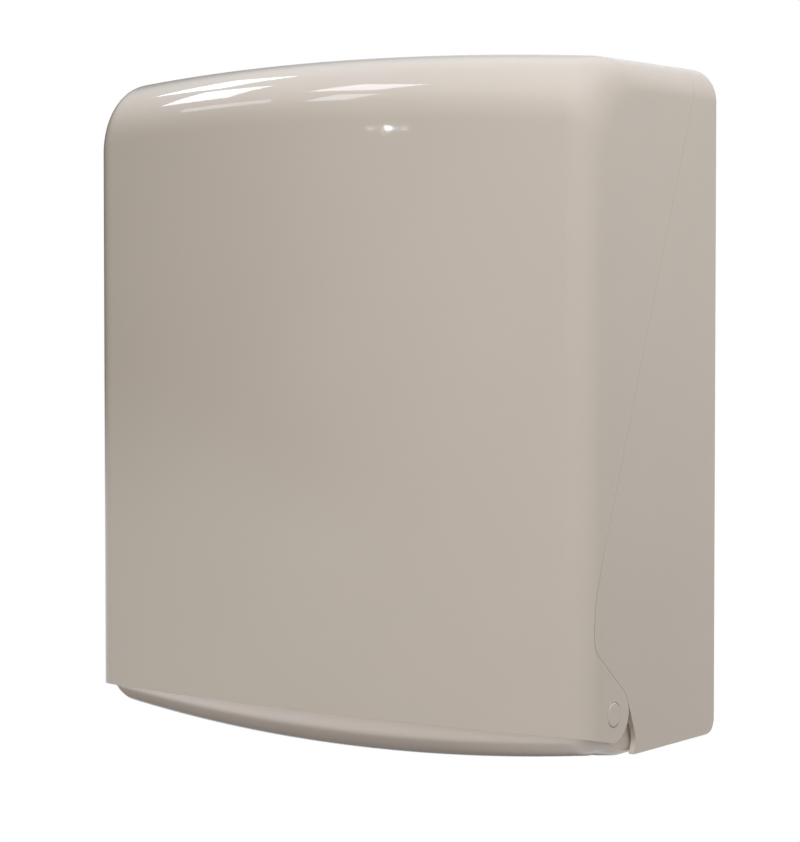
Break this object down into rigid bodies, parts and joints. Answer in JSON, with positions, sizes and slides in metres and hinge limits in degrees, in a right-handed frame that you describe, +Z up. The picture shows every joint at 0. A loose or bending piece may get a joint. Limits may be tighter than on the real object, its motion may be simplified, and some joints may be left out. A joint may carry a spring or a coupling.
{
  "type": "folded towel dispenser",
  "caption": "Wall-hung dispenser for folded paper hand towels: bowed glossy cover hinged at its lower front edge over a slotted bottom tray, locked at the top.",
  "frame": {"origin": "middle of the four wall screws, on the wall face of the back plate", "axes": "+X to the right of someone facing the front, +Y into the wall, +Z up"},
  "size_m": [0.2908, 0.1205, 0.3247],
  "materials": {
    "housing": "polished off-white moulding",
    "tray": "off-white moulding",
    "guide": "fine textured moulding",
    "steel": "zinc plated",
    "zinc": "nickel plated die casting"
  },
  "bodies": {
    "base": {"rear_body": "housing", "bottom_tray": "tray", "tray_screws": "steel", "throat_frame": "tray", "hinge_pin_left": "housing", "hinge_pin_right": "housing", "hinge_clip_left": "steel", "hinge_clip_right": "steel", "towel_guide_left": "guide", "towel_guide_right": "guide", "guide_screws": "steel", "lock_keeper": "steel", "keeper_screws": "steel"},
    "cover": {"front_cover": "housing", "lock_barrel": "zinc", "lock_washer": "steel", "lock_nut": "zinc"},
    "lock": {"lock_plug": "steel", "lock_cam": "steel", "lock_cam_screw": "steel"}
  },
  "joints": [
    {"name": "cover_hinge", "type": "hinge", "parent": "base", "child": "cover", "pos_m": [0, -0.0895, -0.1415], "axis": [1, 0, 0], "range_deg": [0, 60]},
    {"name": "lock_turn", "type": "hinge", "parent": "cover", "child": "lock", "pos_m": [0, -0.045, 0.14], "axis": [0, 0, 1], "range_deg": [0, 90]}
  ]
}
